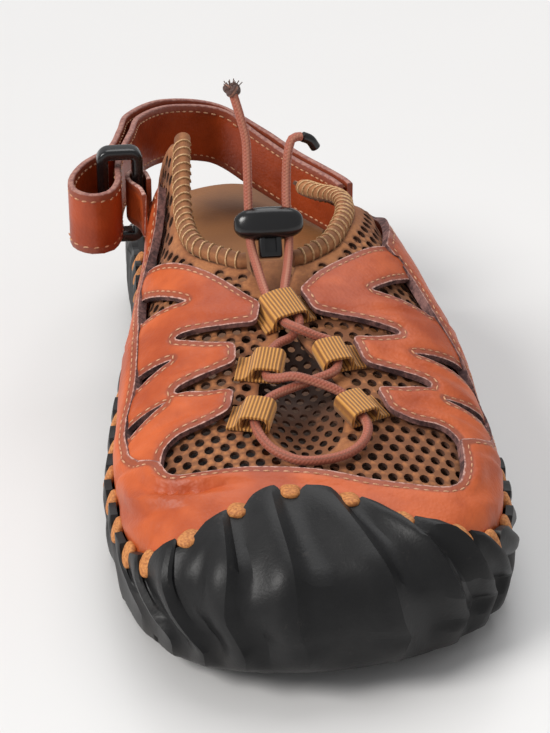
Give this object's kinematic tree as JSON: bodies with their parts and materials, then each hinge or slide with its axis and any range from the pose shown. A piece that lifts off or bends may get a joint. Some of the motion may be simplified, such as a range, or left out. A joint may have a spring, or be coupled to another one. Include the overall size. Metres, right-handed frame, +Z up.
{
  "type": "fisherman sandal",
  "caption": "Closed-toe leather fisherman sandal for the left foot: rubber sole with a scalloped toe bumper, perforated inner, elastic cord lacing with a lock, and a heel strap through a ring.",
  "frame": {"origin": "on the ground under the middle of the shoe", "axes": "+Y from toe to heel along the shoe, +Z up, +X to the outer side of the left foot, -X to the inner side"},
  "size_m": [0.1215, 0.2953, 0.1178],
  "materials": {
    "rubber": "satin moulded rubber",
    "footbed_leather": "matt",
    "nubuck": "nubuck, punched",
    "leather": "semi-gloss full grain",
    "binding": "rolled, with tan stitches",
    "webbing": "ribbed tape",
    "cord": "braided elastic",
    "cord_tip": "dipped end",
    "lock_plastic": "gloss",
    "ring_plastic": "gloss",
    "hook_tape": "hook tape"
  },
  "bodies": {
    "sandal": {"outsole": "rubber", "footbed": "footbed_leather", "perforated_liner": "nubuck", "tongue": "nubuck", "leather_upper": "leather", "collar_roll_medial": "binding", "collar_roll_lateral": "binding", "heel_strap": "leather", "strap_fastener": "hook_tape", "strap_ring": "ring_plastic", "ring_tab": "leather", "cord_loop_top": "webbing", "cord_loop_mid_medial": "webbing", "cord_loop_mid_lateral": "webbing", "cord_loop_low_medial": "webbing", "cord_loop_low_lateral": "webbing", "lace_run": "cord", "lace_end_medial": "cord", "lace_end_lateral": "cord", "lace_knot": "cord", "lace_tip": "cord_tip", "lock_body": "lock_plastic"},
    "lock_button": {"lock_button": "lock_plastic"}
  },
  "joints": [
    {"name": "lock_button_press", "type": "slide", "parent": "sandal", "child": "lock_button", "axis": [0, 0.5, 0.866], "range_m": [0, 0.003], "stiffness_N_per_m": 300}
  ]
}
